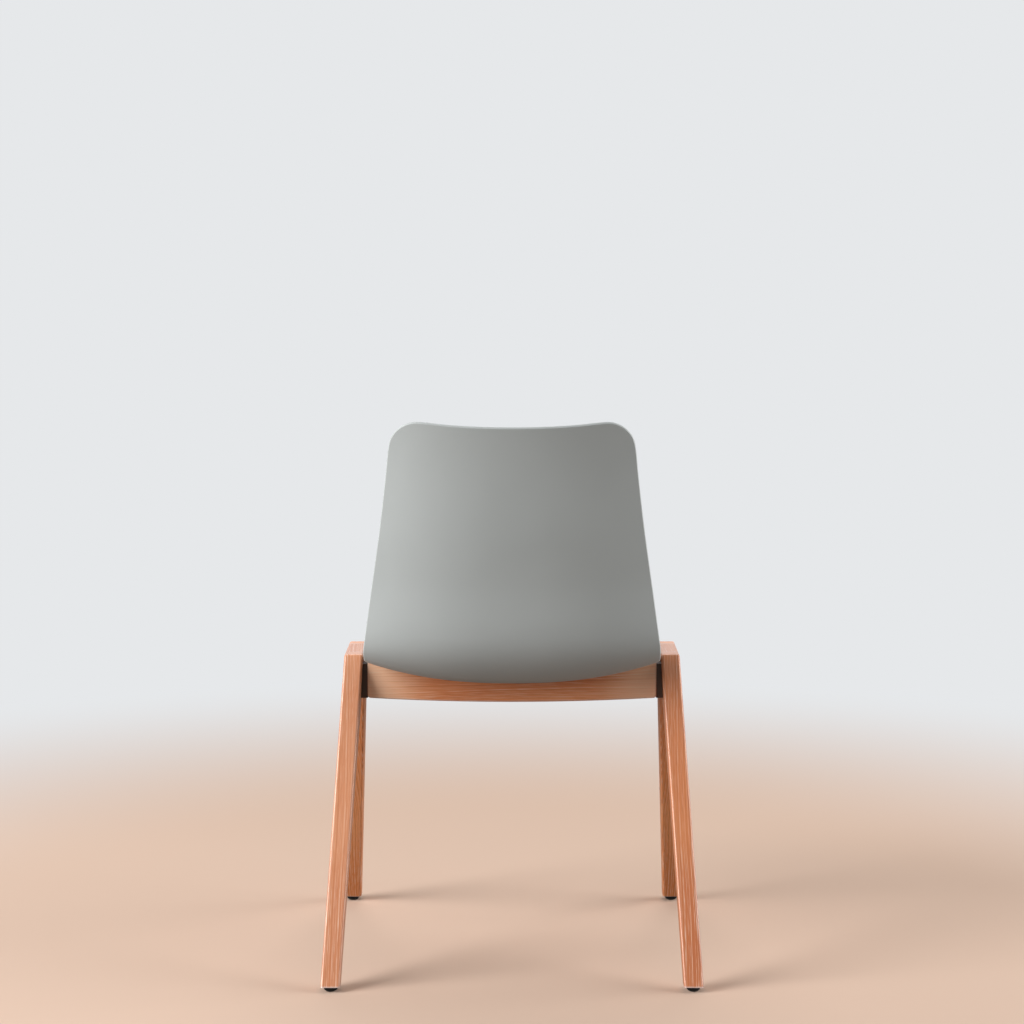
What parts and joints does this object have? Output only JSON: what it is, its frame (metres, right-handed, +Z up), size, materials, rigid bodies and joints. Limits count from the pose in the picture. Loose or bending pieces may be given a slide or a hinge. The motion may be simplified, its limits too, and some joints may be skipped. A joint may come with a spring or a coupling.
{
  "type": "shell chair",
  "caption": "Side chair with a one-piece moulded plastic seat and back shell on a wooden A-frame base with cradle rails and domed foot glides.",
  "frame": {"origin": "on the floor, in the middle of the footprint of the four feet", "axes": "+Z up, the chair faces -Y, +X towards the sitter's left"},
  "size_m": [0.5514, 0.5212, 0.8205],
  "materials": {
    "shell_plastic": "fine matt moulded polypropylene, pale warm grey",
    "frame_oak": "satin lacquer, orange-tan oak",
    "rail_oak": "satin lacquer, straight grain along the rail",
    "dowel_beech": "raw fluted beech",
    "spacer_stained": "hardwood stained near black, dull",
    "glide_black": "satin black nylon",
    "zinc_steel": "bright zinc-plated steel",
    "insert_brass": "plain turned brass"
  },
  "bodies": {
    "root": {"seat_shell": "shell_plastic", "rear_leg_left": "frame_oak", "rear_leg_right": "frame_oak", "front_leg_left": "frame_oak", "front_leg_right": "frame_oak", "top_rail_left": "frame_oak", "top_rail_right": "frame_oak", "rear_cross_rail": "rail_oak", "front_cross_rail": "rail_oak", "rail_end_spacer_rear_left": "spacer_stained", "rail_end_spacer_rear_right": "spacer_stained", "rail_end_spacer_front_left": "spacer_stained", "rail_end_spacer_front_right": "spacer_stained", "foot_glides": "glide_black", "glide_nails": "zinc_steel", "cross_rail_bolts": "zinc_steel", "barrel_nuts": "zinc_steel", "shell_screws": "zinc_steel", "shell_screw_washers": "zinc_steel", "shell_inserts": "insert_brass", "leg_joint_dowels": "dowel_beech", "rail_dowels": "dowel_beech"}
  },
  "joints": []
}
